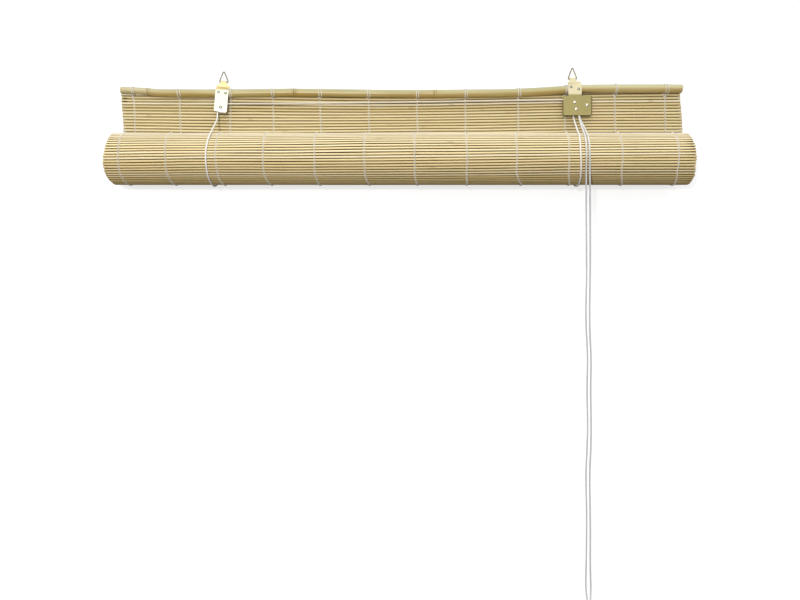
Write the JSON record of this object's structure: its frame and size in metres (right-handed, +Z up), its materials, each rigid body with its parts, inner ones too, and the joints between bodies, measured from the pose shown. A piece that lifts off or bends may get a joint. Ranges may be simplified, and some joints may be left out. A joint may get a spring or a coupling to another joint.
{
  "type": "bamboo roll-up blind",
  "caption": "Bamboo-stick roll-up blind on a natural cane rail, rolled up in its lift cords, with a pulley bracket, a cord lock, wire hanging rings and hanging pull cords.",
  "frame": {"origin": "halfway between the two points where the hanging rings bear on their hooks, in the plane of the cane's centre", "axes": "+X along the blind to the right as seen from the room, -Y towards the room, +Z up"},
  "size_m": [1.0067, 0.1132, 1.0467],
  "materials": {
    "cane": "smooth natural culm skin, satin",
    "bamboo_sticks": "split bamboo, matt with fine grain",
    "warp_cotton": "thin twisted cotton",
    "plated_sheet": "pale brass-plated steel sheet, satin",
    "screw_steel": "plated",
    "rivet_metal": "domed, bright",
    "nylon": "moulded white nylon",
    "lock_steel": "plated, worn on the teeth",
    "ring_wire": "plated wire, dull",
    "white_cord": "braided cotton cord"
  },
  "bodies": {
    "blind": {"headrail_cane": "cane", "bottom_cane": "cane", "hanging_slats": "bamboo_sticks", "rolled_mat": "bamboo_sticks", "warp_lashings": "warp_cotton", "warp_threads": "warp_cotton", "pulley_bracket": "plated_sheet", "lock_bracket": "plated_sheet", "bracket_screws_left": "screw_steel", "bracket_screws_right": "screw_steel", "cord_staples": "screw_steel", "pulley_rivet": "rivet_metal", "lock_rivet_upper": "rivet_metal", "lock_rivet_lower": "rivet_metal", "lock_rivet_cam": "rivet_metal", "lift_cord_left": "white_cord", "lift_cord_right": "white_cord", "lift_cord_knots": "white_cord", "pull_cord_left": "white_cord", "pull_cord_right": "white_cord", "cord_hank_left": "white_cord", "cord_hank_right": "white_cord", "hank_tie": "white_cord", "end_knot_left": "white_cord", "end_knot_right": "white_cord"},
    "ring_left": {"hanging_ring_left": "ring_wire"},
    "ring_right": {"hanging_ring_right": "ring_wire"},
    "pulley": {"pulley_wheel": "nylon"},
    "lock_wheel": {"lock_upper_wheel": "nylon"},
    "lock_roller": {"lock_lower_roller": "lock_steel"},
    "cam": {"lock_cam": "lock_steel"}
  },
  "joints": [
    {"name": "ring_left_swing", "type": "hinge", "parent": "blind", "child": "ring_left", "pos_m": [-0.316, 0, -0.02153], "axis": [1, 0, 0], "range_deg": [-110, 110]},
    {"name": "ring_right_swing", "type": "hinge", "parent": "blind", "child": "ring_right", "pos_m": [0.3074, 0, -0.0158], "axis": [1, 0, 0], "range_deg": [-110, 110]},
    {"name": "pulley_spin", "type": "hinge", "parent": "blind", "child": "pulley", "pos_m": [-0.3197, -0.00438, -0.0679], "axis": [0, 1, 0], "continuous": true},
    {"name": "lock_wheel_spin", "type": "hinge", "parent": "blind", "child": "lock_wheel", "pos_m": [0.3099, -0.004, -0.0597], "axis": [0, 1, 0], "continuous": true},
    {"name": "lock_roller_spin", "type": "hinge", "parent": "blind", "child": "lock_roller", "pos_m": [0.3124, -0.004, -0.0716], "axis": [0, 1, 0], "continuous": true},
    {"name": "cam_release", "type": "hinge", "parent": "blind", "child": "cam", "pos_m": [0.3317, -0.004, -0.0643], "axis": [0, -1, 0], "range_deg": [0, 30]}
  ]
}
